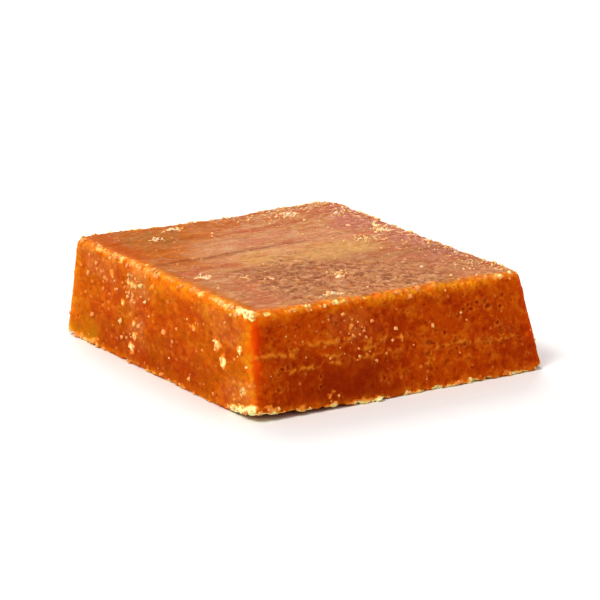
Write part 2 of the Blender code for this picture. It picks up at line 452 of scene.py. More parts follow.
# Each rim: how far it is, how wide its crust is, how full it is, and how evenly.
for gap, width, amount, evenness in (
    (from_left + from_top, 1.5, 0.66, 0.6),
    (from_front + from_top, 1.3, 0.44, 0.0),
    (from_back + from_top, 1.4, 0.62, 0.0),
    (from_right + from_top, 1.4, 0.64, 0.0),
    (foot_edge, 1.3, 0.6, 0.1),
):
    amount = amount * (evenness + (1 - evenness) * patchy)
    dry = np.maximum(dry, amount * hill(gap, width))
corner_gap = np.hypot(from_left + 1.2 * from_top, from_front + 1.2 * from_top)
dry = np.maximum(dry, 0.95 * (1 - soft_step(corner_gap, 1.8, 4.6)))
foot_lip = 1 - soft_step(foot_edge + 2 * uneven(0.006, 1, 73.0, is_edge), 1.4, 3.0)
bead = band(y, -60.0, -45.0, 4.0) * (1 - 0.6 * on_front) * foot_lip * (x < -45)
dry = np.maximum(dry, 1.15 * bead)
dry = np.maximum(dry, 0.74 * band(y, 35.0, 55.0, 4.0) * on_left * foot_lip)
solid = bead.copy()
for side, patches in PATCHES.items():
    across, up = ways[side]
    for a, b, half_width, half_height, amount in patches:
        gap = np.hypot((across - a) / half_width, (up - b) / half_height)
        dried = amount * on_side[side] * hill(gap, 1.15)
        dry = np.maximum(dry, dried)
        if amount > SOLID_FROM:
            solid = np.maximum(solid, dried)
is_dry = dry > 0.02
crust = uneven(0.0023, 2, 107.0, is_dry) + 1.6 * (dry - 0.5)
crust = soft_step(crust, -0.26, 0.36) * is_dry
grainy = uneven(0.0015, 2, 113.0, is_edge | is_dry)
relief += crust * (0.16 + 0.34 * uneven(0.0021, 2, 109.0, is_dry) + 0.16 * grainy)
solid = np.maximum(bead, solid * np.clip(0.86 + 1.5 * grainy, 0.3, 1))
caked = 0.7 * on_top * soft_step(top_edge, 2.0, 4.5)
white = crust * np.maximum(caked, soft_step(solid, 0.3, 0.9))

# Bigger lumps of dry sugar on each rim, top or foot: the share of the way along it, half length,
# half width and height in mm, and how white.
RIM_LUMPS = {
    ("left", True): (
        (0.02, 3, 1.5, 0.5, 1),
        (0.065, 2.6, 1.1, 0.4, 0.9),
        (0.12, 2.2, 0.9, 0.35, 0.6),
        (0.18, 2.4, 0.7, 0.3, 0.4),
        (0.27, 1.6, 0.8, 0.3, 0.5),
        (0.72, 1.5, 1, 0.3, 0.5),
        (0.86, 1.8, 1, 0.3, 0.4),
    ),
    ("left", False): ((0.045, 6.4, 1.5, 0.35, 0.9), (0.11, 1.8, 1.6, 0.4, 1)),
    ("front", True): ((0.06, 1, 0.9, 0.3, 0.6), (0.3, 1.6, 0.8, 0.35, 0.9)),
    ("front", False): (
        (0.06, 0.9, 0.9, 0.25, 0.9),
        (0.145, 1.2, 0.7, 0.25, 0.5),
        (0.26, 1.5, 0.9, 0.3, 0.7),
        (0.372, 1.5, 0.8, 0.25, 1),
        (0.412, 1, 0.7, 0.25, 1),
        (0.505, 1.7, 0.9, 0.3, 1),
        (0.555, 2.8, 0.6, 0.25, 0.7),
        (0.61, 1.8, 0.8, 0.3, 1),
        (0.655, 3, 0.6, 0.25, 0.7),
        (0.731, 1.7, 1.1, 0.35, 1),
        (0.784, 1.6, 0.7, 0.25, 0.9),
        (0.871, 1.7, 0.9, 0.3, 1),
        (0.926, 2, 0.6, 0.25, 0.7),
    ),
}
# The rest come as they fall: the edge, top or foot, how many, and how white at most.
LOOSE_LUMPS = (
    ("left", True, 6, 0.6),
    ("left", False, 7, 0.7),
    ("front", True, 3, 0.7),
    ("front", False, 17, 1.2),
    ("right", True, 8, 0.8),
    ("right", False, 8, 0.9),
    ("back", True, 8, 0.8),
    ("back", False, 8, 0.9),
)
rim_lumps = [(*edge, *lump) for edge, placed in RIM_LUMPS.items() for lump in placed]
for edge, top, count, whitest in LOOSE_LUMPS:
    for _ in range(count):
        share, whiteness = dice.random(), whitest * dice.random()
        length, width = dice.uniform(0.6, 2.0), dice.uniform(0.5, 0.9)
        rim_lumps.append((edge, top, share, length, width, 0.25, whiteness))
for edge, top, share, length, width, height, whiteness in rim_lumps:
    place, along = edge_place(edge, top, share)
    place = skin[finder.find(place)[1]]
    near = finder.find_range(place, 2 * length * MM)
    index = np.array([i for _, i, _ in near])
    away = np.array([(np.array(found) - place) / MM for found, _, _ in near])
    run = away @ along
    off = np.sqrt(np.maximum((away**2).sum(axis=1) - run**2, 0))
    lump = 1 - soft_step(np.hypot(run / length, off / width) + 0.9 * grainy[index], 0.55, 1.25)
    relief[index] += height * lump
    crust[index] = np.maximum(crust[index], lump)
    white[index] = np.maximum(white[index], whiteness * lump)

skin += outward * (relief * MM * np.clip(skin[:, 2] / 0.0006, 0, 1))[:, None]

# Underside: the mould's open mouth, where the sugar set in ripples. Only the high spots rest.
ripples = 0.3 * uneven(0.006, 2, 201.0, is_foot)
ripples += 0.14 * uneven(0.0022, 1, 207.0, is_foot)
skin[:, 2] += on_foot * np.maximum(0, ripples) * soft_step(wall_gap, 0.8, 2.5) * MM

# Chips: broken-out bits, each a rough hollow round a ball that stands outside the block.
# Each chip: its edge, top or foot, share of the way, direction out, depth, and the ball's radius.
CHIPS = (
    ("right", False, 0, (0.37, -0.44, -0.82), 0.0029, 0.013),
    ("right", True, 0, (0.6, -0.4, 0.69), 0.0022, 0.012),
    ("back", True, 0.83, (0, 0.65, 0.76), 0.0015, 0.0024),
    ("right", True, 0.55, (0.75, 0, 0.66), 0.0015, 0.0026),
    ("right", True, 0.22, (0.75, 0, 0.66), 0.0013, 0.002),
)
# Small nicks along each edge, top or foot: direction out, and how many.
NICKED_EDGES = (
    ("front", False, (0, -0.72, -0.69), 26),
    ("left", False, (-0.72, 0, -0.69), 18),
    ("right", False, (0.72, 0, -0.69), 20),
    ("back", False, (0, 0.72, -0.69), 20),
    ("front", True, (0, -0.66, 0.75), 12),
    ("left", True, (-0.66, 0, 0.75), 12),
    ("right", True, (0.66, 0, 0.75), 14),
    ("back", True, (0, 0.66, 0.75), 14),
)
NICK_DEPTH, NICK_BALL = 0.0012, 0.0022
broken = np.zeros(len(skin))
chip_rough = uneven(0.0016, 3, 71.0, at_top_edge + at_foot_edge > 1e-6)


def chip(edge, top, share, direction, depth, ball):
    """Breaks a bit out of one of the block's edges."""
    direction = np.array(direction, float)
    direction /= np.linalg.norm(direction)
    centre = edge_place(edge, top, share)[0] + direction * (ball - depth)
    away = skin - centre
    distance = np.linalg.norm(away, axis=1)
    reach = ball + 0.45 * depth * chip_rough
    inside = distance < reach
    skin[inside] = centre + away[inside] * (reach[inside] / distance[inside])[:, None]
    broken[inside] = 1.0


for row in CHIPS:
    chip(*row)
for edge, top, direction, count in NICKED_EDGES:
    for _ in range(count):
        share, size = dice.uniform(0.03, 0.97), dice.uniform(0.35, 1.0)
        chip(edge, top, share, direction, NICK_DEPTH * size, NICK_BALL * size)
skin[:, 2] = np.maximum(skin[:, 2], 0.0)

# Where the skin differs in colour, from 0 to 1. Both drifts bend the fields' borders, in mm.
drift = 7 * uneven(0.013, 3, 101.0)
drift_z = 3 * uneven(0.008, 3, 103.0)


def wall_fields(fields, fade, fade_z):
    """The most of these soft-edged fields: each one's wall, its reach in mm, and how strong."""
    most = np.zeros(len(skin))
    for wall, start, end, low, high, amount in fields:
        field = band(ways[wall][0] + drift, start, end, fade) * band(z + drift_z, low, high, fade_z)
        most = np.maximum(most, amount * on_side[wall] * field)
    return most


# On the walls: lighter edges, a frost of dry sugar, and darker fields, mostly low on the walls.
# Painted glow: the rims, uprights and foot are lighter and more orange, where light shines through
# the sugar.
rim_reach = 2.4 + 0.2 * drift + 2.2 * on_left * band(y, -30.0, 2.0, 10.0)
shaded_top = on_top * (1 - soft_step(-x - y, -20.0, 10.0))
upright_reach = 4.6 + 0.25 * drift + 1.8 * on_left * band(z, 8.0, 19.0, 5.0)
edge_glow = 0.95 * hill(top_edge, rim_reach) * np.clip(1 - shaded_top, 0.15, 1)
edge_glow = np.maximum(edge_glow, 0.8 * hill(upright_edge, upright_reach) * (1 - on_front))
edge_glow = np.maximum(edge_glow, 0.55 * hill(foot_edge, 1.8))
gilded = on_front * band(x + 0.5 * drift, 0.0, 28.0, 10.0) * hill(from_top, 2.1 + 0.2 * drift)
# Painted glow by the uprights of the front and back walls, where light shines through the sugar.
upright_glow = hill(in_x, 3.0 + 0.3 * drift_z) * (on_front + on_back)
upright_glow *= 0.3 + 0.7 * soft_step(z + 2 * drift_z, 7.0, 20.0)
frost = on_left * band(y + 0.5 * drift, 9.0, 15.0, 6.0)
frost *= 0.35 + 0.65 * soft_step(z + drift_z, 7.0, 16.0)
frost *= soft_step(uneven(0.006, 2, 105.0), -0.35, 0.25)
SPRINKLED = (
    ("left", 30, 42, 24, 28, 0.6),
    ("left", -38, -31, 23, 27, 0.45),
    ("left", -50, -42, 3, 8, 0.55),
    ("front", -21, -12, 22.5, 25, 0.34),
    ("right", -14, -6, 6, 24, 0.4),
    ("back", 15, 23, 8, 24, 0.4),
)
frost = np.maximum(frost, wall_fields(SPRINKLED, 8.0, 4.0))
DARK_FIELDS = (
    ("front", -36, -10, 4.5, 9, 1),
    ("front", -26, -9, 1.5, 9, 1.4),
    ("front", -38, -16, 11, 15, 0.85),
    ("left", -26, 4, 2, 9, 0.64),
    ("left", 8, 32, 1, 9, 0.6),
    ("right", -26, 16, 4, 10, 0.7),
    ("back", -16, 26, 4, 10, 0.7),
)
dark = wall_fields(DARK_FIELDS, 11.0, 5.0)
olive = on_left * band(y + 0.3 * drift, 38.0, 54.0, 6.0) * (1 - soft_step(z + drift_z, 3.0, 9.0))
# On the top: fields of gold, plum, amber and moss, bands, and the pale shelf by two of its rims.
gold = on_top * band(y + 10 * uneven((0.03, 0.006, 0.01), 3, 81.0, is_top), -8.0, 4.0, 8.0)
gold *= band(x + 10 * uneven(0.02, 2, 83.0, is_top), -16.0, 14.0, 14.0)
plum = on_top * soft_step(x + 10 * uneven(0.009, 2, 87.0, is_top), 26.0, 44.0)
plum *= band(y + drift, -24.0, 40.0, 8.0)
far_back = 0.9 * np.clip(y - 22, 0, 25)
amber = on_top * soft_step(far_back - x + 14 * uneven(0.012, 3, 91.0, is_top), 2.0, 38.0)
amber *= soft_step(y + 10 * uneven(0.014, 2, 95.0, is_top), -12.0, 26.0)
amber = np.maximum(amber, on_top * (1 - soft_step(from_left + 0.3 * drift, 2.5, 8.0)))
amber += 0.6 * on_top * (1 - soft_step(from_left + 0.4 * drift, 6.0, 14.0)) * soft_step(y, 4.0, 20.0)
mossy = on_top * (1 - soft_step(np.hypot(x + 30 + drift, y - 38), 5.0, 12.0))
dusky = 0.24 * band(y + drift, -20.0, -9.0, 5.0) + 0.12 * band(y + drift, -40.0, -27.0, 6.0)
dusky *= on_top * band(x + drift, -26.0, 42.0, 12.0)
milky = 0.2 * on_top * band(y + drift, 9.0, 23.0, 6.0) * band(x + drift, -24.0, 22.0, 10.0)
inland = on_top * soft_step(top_edge, 1.5, 4.0)
from_shelf = np.minimum(from_right, from_back + 2 + 14 * (1 - soft_step(x, -25.0, 20.0)))
shelf = on_top * np.minimum(1, 1.4 * np.exp(-from_shelf / 8.0))

# The skin is thinned to the triangles that it needs, and its points take the nearest marks.
block = new_object("jaggery_block_cast", new_mesh("dense_block", skin, squares))
thin = block.modifiers.new("thin", "DECIMATE")
thin.ratio = MOST_TRIANGLES / (2 * len(squares))
thin.use_collapse_triangulate = True
bpy.context.view_layer.update()
graph = bpy.context.evaluated_depsgraph_get()
cast_mesh = bpy.data.meshes.new_from_object(block.evaluated_get(graph))
block.modifiers.clear()
block.data = cast_mesh
cast_mesh.name = "jaggery_block_cast"
cast_mesh.shade_smooth()
finder = finder_of(skin)
nearest = np.array([finder.find(vertex.co)[1] for vertex in cast_mesh.vertices])

# The six sides laid flat, each with room of its own, so the skin's colours are kept without smears.
# Each side: the axis and way that it faces, the two axes it is laid out by, and the left, foot,
# width and height of its room.
LAID_FLAT = (
    (2, 1, 0, 1, 0.01, 0.01, 0.57, 0.615),
    (2, -1, 1, 0, 0.63, 0.645, 0.345, 0.33),
    (0, -1, 2, 1, 0.6, 0.01, 0.18, 0.615),
    (0, 1, 2, 1, 0.985, 0.01, -0.18, 0.615),
    (1, -1, 0, 2, 0.01, 0.645, 0.6, 0.16),
    (1, 1, 0, 2, 0.61, 0.825, -0.6, 0.16),
)
triangles = np.array([face.vertices for face in cast_mesh.polygons])
thinned = np.array([vertex.co for vertex in cast_mesh.vertices])
side_gaps = (from_top, from_foot, from_left, from_right, from_front, from_back)
side_gaps = np.stack(side_gaps, axis=1)[nearest]
side_of = side_gaps[triangles].mean(axis=1).argmin(axis=1)
flat_map = np.zeros((len(triangles), 3, 2))
for number, (axis, facing, a, b, left, foot, width, height) in enumerate(LAID_FLAT):
    rolled_off = (facing * thinned[:, axis]).max() - facing * thinned[:, axis]
    place = thinned[:, (a, b)] + outward[nearest][:, (a, b)] * rolled_off[:, None]
    place = place[triangles[side_of == number]]
    share = (place - place.min(axis=(0, 1))) / np.ptp(place, axis=(0, 1))
    flat_map[side_of == number] = (left, foot) + share * (width, height)
cast_map = cast_mesh.uv_layers.new(name="OFBake")
cast_map.uv.foreach_set("vector", flat_map.astype(np.float32).ravel())


def add_marks(mesh, marks):
    """Stores a value for each point under each name."""
    for name, values in marks.items():
        layer = mesh.attributes.new(name, "FLOAT", "POINT")
        layer.data.foreach_set("value", np.ascontiguousarray(values, np.float32))


skin_marks = dict(
    edge_glow=edge_glow, gilded=gilded, upright_glow=upright_glow, frost=frost, dark=dark, olive=olive,
    ledge=ledge, pitted=pitted, lipped=lipped, broken=broken, crust=crust, white=white,
    inland=inland, gold=gold, plum=plum, amber=amber, mossy=mossy, dusky=dusky, milky=milky,
    shelf=shelf, lumps=lumps, coarse=coarse * on_top, groove=groove * on_top, top_dust_and_sheen=on_top,
    # Painted light: the sides that face the lamps take paler, more golden colours, and the front
    # keeps the deeper shaded ones.
    lit_side=on_left + 0.55 * on_back + 0.55 * on_right,
)
add_marks(cast_mesh, {name: values[nearest] for name, values in skin_marks.items()})


def feed(tree, socket, value):
    """Gives a socket its value, or joins it to the socket that feeds it."""
    if isinstance(value, bpy.types.NodeSocket):
        tree.links.new(value, socket)
    else:
        socket.default_value = value


def feed_inputs(tree, fed, **inputs):
    """Feeds a node's inputs by their names."""
    for name, value in inputs.items():
        feed(tree, fed.inputs[name.replace("_", " ")], value)


def add_node(tree, kind, settings=None, **inputs):
    """Adds a node with its settings and its named inputs."""
    made = tree.nodes.new(kind)
    for name, value in (settings or {}).items():
        setattr(made, name, value)
    feed_inputs(tree, made, **inputs)
    return made


def mark(tree, name):
    return add_node(tree, "ShaderNodeAttribute", {"attribute_name": name}).outputs["Fac"]


def maths(tree, operation, a, b):
    made = add_node(tree, "ShaderNodeMath", {"operation": operation})
    feed(tree, made.inputs[0], a)
    feed(tree, made.inputs[1], b)
    return made.outputs[0]


def blend(tree, share, under, over):
    """One colour over another, by a share."""
    made = add_node(tree, "ShaderNodeMix", {"data_type": "RGBA"})
    feed(tree, made.inputs[0], share)
    feed(tree, made.inputs[6], under)
    feed(tree, made.inputs[7], over)
    return made.outputs[2]


def coats(tree, colour, laid_on):
    """Coats of colour over a first one, each as its share and its colour."""
    for share, over in laid_on:
        colour = blend(tree, share, colour, over)
    return colour


def ramp(tree, value, low, high, to_low=0.0, to_high=1.0):
    """Spreads values from low..high to to_low..to_high, and holds them there."""
    made = add_node(tree, "ShaderNodeMapRange", {"interpolation_type": "SMOOTHSTEP"}, Value=value)
    feed_inputs(tree, made, From_Min=low, From_Max=high, To_Min=to_low, To_Max=to_high)
    return made.outputs[0]


# The cloudy unevenness of tone that every material here has.
cloudy_tone = bpy.data.node_groups.new("cloudy_tone", "ShaderNodeTree")
for name, value in (
    ("Size", 0.002),
    ("Detail", 2.0),
    ("Roughness", 0.55),
    ("Wobble", 0.0),
    ("Stretch", (1, 1, 1)),
    ("Shift", (0, 0, 0)),
):
    kind = "NodeSocketVector" if isinstance(value, tuple) else "NodeSocketFloat"
    cloudy_tone.interface.new_socket(name, in_out="INPUT", socket_type=kind).default_value = value
cloudy_tone.interface.new_socket("Tone", in_out="OUTPUT", socket_type="NodeSocketFloat")
given = cloudy_tone.nodes.new("NodeGroupInput").outputs
tone_place = add_node(
    cloudy_tone,
    "ShaderNodeMapping",
    Vector=add_node(cloudy_tone, "ShaderNodeTexCoord").outputs["Object"],
    Scale=given["Stretch"],
    Location=given["Shift"],
)
tone_noise = add_node(
    cloudy_tone,
    "ShaderNodeTexNoise",
    Vector=tone_place.outputs[0],
    Scale=maths(cloudy_tone, "DIVIDE", 1.0, given["Size"]),
    Detail=given["Detail"],
    Roughness=given["Roughness"],
    Distortion=given["Wobble"],
)
add_node(cloudy_tone, "NodeGroupOutput", Tone=tone_noise.outputs["Fac"])


def cloud(tree, size, detail=2.0, rough=0.55, stretch=(1, 1, 1), shift=(0, 0, 0), wobble=0.0):
    """Cloudy values around 0.5, over lumps of this size in metres."""
    made = add_node(tree, "ShaderNodeGroup", {"node_tree": cloudy_tone}, Size=size, Detail=detail)
    feed_inputs(tree, made, Roughness=rough, Wobble=wobble, Stretch=stretch, Shift=shift)
    return made.outputs["Tone"]


def cells_of(tree, size, stretch=(1, 1, 1), shift=(0, 0, 0)):
    """Sugar grains of this size in metres: how far their middles are, and a value for each."""
    where = add_node(tree, "ShaderNodeTexCoord").outputs["Object"]
    moved = add_node(tree, "ShaderNodeMapping", Vector=where, Scale=stretch, Location=shift)
    cells = add_node(tree, "ShaderNodeTexVoronoi", Vector=moved.outputs[0], Scale=1 / size)
    kinds = add_node(tree, "ShaderNodeSeparateColor", Color=cells.outputs["Color"])
    return cells.outputs["Distance"], kinds.outputs


def new_material(name):
    """A material, its nodes and its shader."""
    made = bpy.data.materials.new(name)
    made.use_nodes = True
    return made, made.node_tree, made.node_tree.nodes["Principled BSDF"]


# The walls' colours, from deep red to honey.
RED = (0.46, 0.066, 0.0008, 1)
BODY = (0.54, 0.098, 0.0012, 1)
HONEY = (0.66, 0.19, 0.01, 1)
DEEP = (0.3, 0.03, 0.0006, 1)
# Painted light: lit-side copies of the wall colours, for the left side and, less, the right and
# back.
LIT_SIDE_RED = (0.5, 0.092, 0.0006, 1)
LIT_SIDE_GOLD = (0.49, 0.138, 0.0006, 1)
PEACH = (0.68, 0.23, 0.018, 1)
BEAD = (0.84, 0.33, 0.09, 1)
SPECK = (0.76, 0.3, 0.1, 1)
LAYER = (0.74, 0.29, 0.035, 1)
OLIVE = (0.5, 0.235, 0.002, 1)
# Painted glow by the front and back uprights.
UPRIGHT_GLOW = (0.82, 0.095, 0.0006, 1)
FROST = (0.74, 0.35, 0.14, 1)
# The top's, from umber to sand: pinker and paler than the walls, partly a dust of dry sugar and
# partly painted sheen of the white sky at a low angle.
TAN = (0.51, 0.25, 0.11, 1)
PALE_TAN = (0.66, 0.4, 0.25, 1)
ROSE = (0.46, 0.14, 0.06, 1)
OCHRE = (0.36, 0.115, 0.025, 1)
UMBER = (0.24, 0.08, 0.038, 1)
RUST = (0.44, 0.125, 0.045, 1)
SAND = (0.6, 0.33, 0.17, 1)
GOLD = (0.57, 0.31, 0.11, 1)
PLUM = (0.46, 0.18, 0.15, 1)
AMBER = (0.41, 0.116, 0.004, 1)
AMBER_BRIGHT = (0.6, 0.175, 0.002, 1)
AMBER_DEEP = (0.44, 0.1, 0.001, 1)
MOSS = (0.32, 0.15, 0.04, 1)
# The edges', with their painted glow where light shines through the sugar, and the crust's.
GLOW = (0.84, 0.23, 0.008, 1)
GLOW_GOLD = (0.84, 0.34, 0.014, 1)
GILT = (0.92, 0.47, 0.03, 1)
RIM = (0.84, 0.31, 0.05, 1)
RIM_PALE = (0.9, 0.45, 0.12, 1)
CREAM = (0.9, 0.58, 0.2, 1)
WHITE = (0.97, 0.87, 0.46, 1)
ROSY_CREAM = (0.92, 0.58, 0.36, 1)
ROSY_WHITE = (0.96, 0.7, 0.48, 1)

sugar, tree, shader = new_material("cast_cane_sugar")


def both(a, b):
    return maths(tree, "MULTIPLY", a, b)


def on(name, most):
    """One of the skin's marks, times the most that it may cover."""
    return both(mark(tree, name), most)


broad = cloud(tree, 0.01, 3.0, 0.6)
hue = cloud(tree, 0.0068, 3.0, 0.6, stretch=(1, 0.55, 1), shift=(0.4, 0.1, 0.9))
middling = cloud(tree, 0.0042, 2.0, 0.6, shift=(0.2, 0.5, 0.1))
mottle = cloud(tree, 0.0018, 3.0, 0.6, stretch=(1, 0.6, 1), shift=(3, 1, 2))
fine = cloud(tree, 0.0008, 2.0, 0.6, shift=(7, 5, 3))
flecks = cloud(tree, 0.0021, 2.0, 0.55, stretch=(1, 0.5, 1), shift=(6, 9, 4))
speck_gap, speck_kind = cells_of(tree, 0.0024, shift=(0.3, 0.7, 0.1))
speck_spot = ramp(tree, speck_gap, 0.3, 0.1)
speck_share = both(speck_spot, ramp(tree, speck_kind[0], 0.5, 1.0, 0.0, 0.65))
bead_gap, bead_kind = cells_of(tree, 0.0021, stretch=(1, 0.6, 1), shift=(0.9, 0.2, 0.6))
bead_spot = ramp(tree, bead_gap, 0.34, 0.12)
bead_share = both(bead_spot, ramp(tree, bead_kind[1], 0.45, 1.0, 0, 0.9))
shaded = maths(tree, "SUBTRACT", 1.0, on("lit_side", 0.3))
walls = coats(
    tree,
    blend(tree, ramp(tree, broad, 0.36, 0.6), RED, BODY),
    (
        # Painted light: the lamp-facing sides are paler and more golden, and only they get the peach
        # and bead specks.
        (on("lit_side", 0.9), blend(tree, ramp(tree, hue, 0.38, 0.62), LIT_SIDE_RED, LIT_SIDE_GOLD)),
        (on("lit_side", ramp(tree, flecks, 0.54, 0.7, 0, 0.5)), PEACH),
        (on("lit_side", bead_share), BEAD),
        (ramp(tree, middling, 0.5, 0.72, 0, 0.7), HONEY),
        # Partly the sugar's own mottle and partly painted shade and highlight: the mottle that the
        # bump follows is deeper in its hollows, most on the shaded front, and lighter on its crowns.
        (both(shaded, ramp(tree, mottle, 0.48, 0.32, 0, 0.6)), DEEP),
        (ramp(tree, mottle, 0.52, 0.68, 0, 0.58), HONEY),
        (on("dark", 0.5), DEEP),
        (on("olive", 0.75), OLIVE),
        (speck_share, SPECK),
        # Painted glow by the front and back uprights.
        (on("upright_glow", 0.85), UPRIGHT_GLOW),
    ),
)

streak = cloud(tree, 0.0016, 4.0, 0.62, stretch=(0.07, 1, 1), shift=(0, 4, 0), wobble=0.4)
scratch = cloud(tree, 0.0012, 2.0, 0.6, stretch=(0.36, 1, 1), shift=(5, 2, 1))
smear = cloud(tree, 0.0065, 3.0, 0.6, stretch=(0.4, 1, 1), shift=(2, 7, 0))
blotch = cloud(tree, 0.0028, 3.0, 0.65, stretch=(0.55, 1, 1), shift=(3, 3, 9))
flakes = cloud(tree, 0.0013, 2.0, 0.6, stretch=(0.8, 1, 1), shift=(8, 1, 6))
lumpy = mark(tree, "lumps")
smooth = maths(tree, "SUBTRACT", 1.0, on("coarse", 0.7))
smooth = maths(tree, "MAXIMUM", 0.0, maths(tree, "SUBTRACT", smooth, on("amber", 0.5)))
top = coats(
    tree,
    blend(tree, ramp(tree, smear, 0.38, 0.6), ROSE, TAN),
    (
        (ramp(tree, streak, 0.5, 0.34, 0, 0.7), OCHRE),
        (ramp(tree, blotch, 0.46, 0.36, 0, 0.55), RUST),
        (ramp(tree, blotch, 0.54, 0.66, 0, 0.55), SAND),
        (on("gold", ramp(tree, smear, 0.3, 0.55, 0.4, 0.9)), GOLD),
        (on("amber", ramp(tree, streak, 0.35, 0.6, 0.75, 1.0)), AMBER),
        (on("amber", ramp(tree, blotch, 0.52, 0.62, 0, 0.6)), AMBER_BRIGHT),
        (ramp(tree, mark(tree, "amber"), 1.0, 1.5), AMBER_DEEP),
        (on("coarse", 0.7), TAN),
        (on("plum", 0.55), PLUM),
        (both(smooth, ramp(tree, scratch, 0.46, 0.32, 0, 0.5)), OCHRE),
        (both(smooth, ramp(tree, scratch, 0.54, 0.7, 0, 0.5)), PALE_TAN),
        # Painted shade in the gaps between the coarse field's lumps, and painted highlight on their
        # crowns.
        (on("coarse", ramp(tree, lumpy, 0.48, 0.06, 0, 0.75)), UMBER),
        (on("coarse", ramp(tree, lumpy, 0.5, 0.92, 0, 0.8)), PALE_TAN),
        (on("shelf", ramp(tree, flakes, 0.48, 0.38, 0, 0.75)), UMBER),
        (on("shelf", ramp(tree, flakes, 0.56, 0.63, 0, 0.9)), ROSY_CREAM),
        (on("mossy", ramp(tree, flakes, 0.58, 0.42, 0.1, 0.7)), MOSS),
        (mark(tree, "dusky"), UMBER),
        (mark(tree, "milky"), PALE_TAN),
        # Painted shade in and around the grooves.
        (on("groove", 0.6), UMBER),
        (speck_share, PALE_TAN),
    ),
)

strokes = cloud(tree, 0.0011, 2.0, 0.5, stretch=(1, 1, 0.5), shift=(4, 4, 7))
frost_gap, _ = cells_of(tree, 0.0019, shift=(5, 2, 8))
crusty, whitened, inner = mark(tree, "crust"), mark(tree, "white"), mark(tree, "inland")
glowing = blend(tree, ramp(tree, flecks, 0.46, 0.6), GLOW, GLOW_GOLD)
crust_colour = blend(tree, ramp(tree, mottle, 0.4, 0.62), RIM, RIM_PALE)
skin_colour = coats(
    tree,
    # The top takes its own colours, partly dry sugar dust and partly painted sheen.
    blend(tree, mark(tree, "top_dust_and_sheen"), walls, top),
    (
        # Painted glow along the rims, uprights and foot, where light shines through the sugar.
        (on("edge_glow", ramp(tree, mottle, 0.3, 0.56, 0.5, 0.95)), glowing),
        (on("gilded", ramp(tree, strokes, 0.48, 0.6, 0, 0.85)), GILT),
        # Painted shade in the pits' hollows, and painted highlight on their lips.
        (on("pitted", 0.6), DEEP),
        (on("lipped", 0.5), LAYER),
        (on("ledge", 0.6), LAYER),
        # The chips take the painted glow, as if light shone through the broken sugar.
        (on("broken", 0.35), GLOW),
        (on("frost", ramp(tree, frost_gap, 0.46, 0.16, 0.3, 0.85)), FROST),
        (ramp(tree, crusty, 0.0, 0.45, 0, 0.8), RIM),
        (ramp(tree, crusty, 0.45, 0.95, 0, 0.95), crust_colour),
        (ramp(tree, whitened, 0.05, 0.5), blend(tree, inner, CREAM, ROSY_CREAM)),
        (ramp(tree, whitened, 0.45, 0.9), blend(tree, inner, WHITE, ROSY_WHITE)),
    ),
)

grain_height = maths(tree, "ADD", both(mottle, 0.9), both(fine, 0.35))
grain_height = maths(tree, "ADD", grain_height, both(speck_spot, 0.15))
grain_bump = add_node(tree, "ShaderNodeBump", Strength=0.8, Distance=0.0004, Height=grain_height)
feed_inputs(
    tree,
    shader,
    Base_Color=skin_colour,
    Roughness=ramp(tree, mottle, 0.35, 0.7, 0.46, 0.66),
    Normal=grain_bump.outputs[0],
    Specular_IOR_Level=0.05,
    Subsurface_Weight=0.4,
    Subsurface_Radius=(1.0, 0.34, 0.1),
    Subsurface_Scale=0.0013,
)
cast_mesh.materials.append(sugar)

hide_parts("jaggery_block")
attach(block, "root")

# ---------------------------------------------------------------------------
# Sugar grains. Where the block's edges rub and its skin dries, sugar crumbles to small faceted
# crystals, cream where they are dry. They lie on the top and cling to the rims and the walls.
# ---------------------------------------------------------------------------

# How many, and their sizes in mm: the smallest, and how much bigger the rest may be.
GRAIN_COUNT, GRAIN_SMALLEST, GRAIN_SPREAD = 960, 0.34, 0.6
SIZE_CURVE = 2.2
GRAIN_CORNERS = np.array([(a, b, c) for a in (-1, 1) for b in (-1, 1) for c in (-1, 1)], float)
GRAIN_FACES = np.array(
    [(0, 1, 3, 2), (4, 6, 7, 5), (0, 4, 5, 1), (2, 3, 7, 6), (0, 2, 6, 4), (1, 5, 7, 3)]
)

# Where they gather: the side, the two places on it and how far around in mm, and how many.
CLUSTERS = (
    ("top", 23.4, 42.1, 3.4, 1),
    ("top", 38.4, 35.7, 2, 0.8),
    ("top", -19.6, 44.7, 2.2, 0.9),
    ("top", -29.6, 36.7, 2.4, 0.9),
    ("top", -41.6, -9.3, 2.2, 0.8),
    ("top", -3, -26, 4, 0.32),
    ("top", 28.4, 5, 4.5, 0.38),
    ("top", 39.4, 10.7, 2.5, 0.7),
    ("top", -18, -44.3, 2.5, 0.8),
    ("front", -15, 22.5, 8.5, 0.11),
    ("front", -25, 3, 2.5, 0.12),
    ("left", 16, 24, 5.5, 0.18),
    ("left", 14, 9, 5, 0.22),
    ("left", -32, 18, 2.2, 0.3),
    ("left", -36, 14, 2.2, 0.3),
    ("left", -45, 18.6, 2, 0.3),
    ("left", -50, 10.5, 2, 0.3),
)
cluster = np.zeros(len(skin))
for wall, a, b, reach, amount in CLUSTERS:
    index = skin_point(wall, a, b)
    for place, i, away in finder.find_range(skin[index], 2.0 * reach * MM):
        cluster[i] = max(cluster[i], amount * math.exp(-((away / MM / reach) ** 2) * 2))


def scatter(weights, count, smallest, spread):
    """Places on the block's skin, more of them where the weights are higher, and sizes for them."""
    places = dice.choice(len(skin), size=count, p=weights / weights.sum())
    return places, MM * (smallest + spread * dice.random(count) ** SIZE_CURVE)


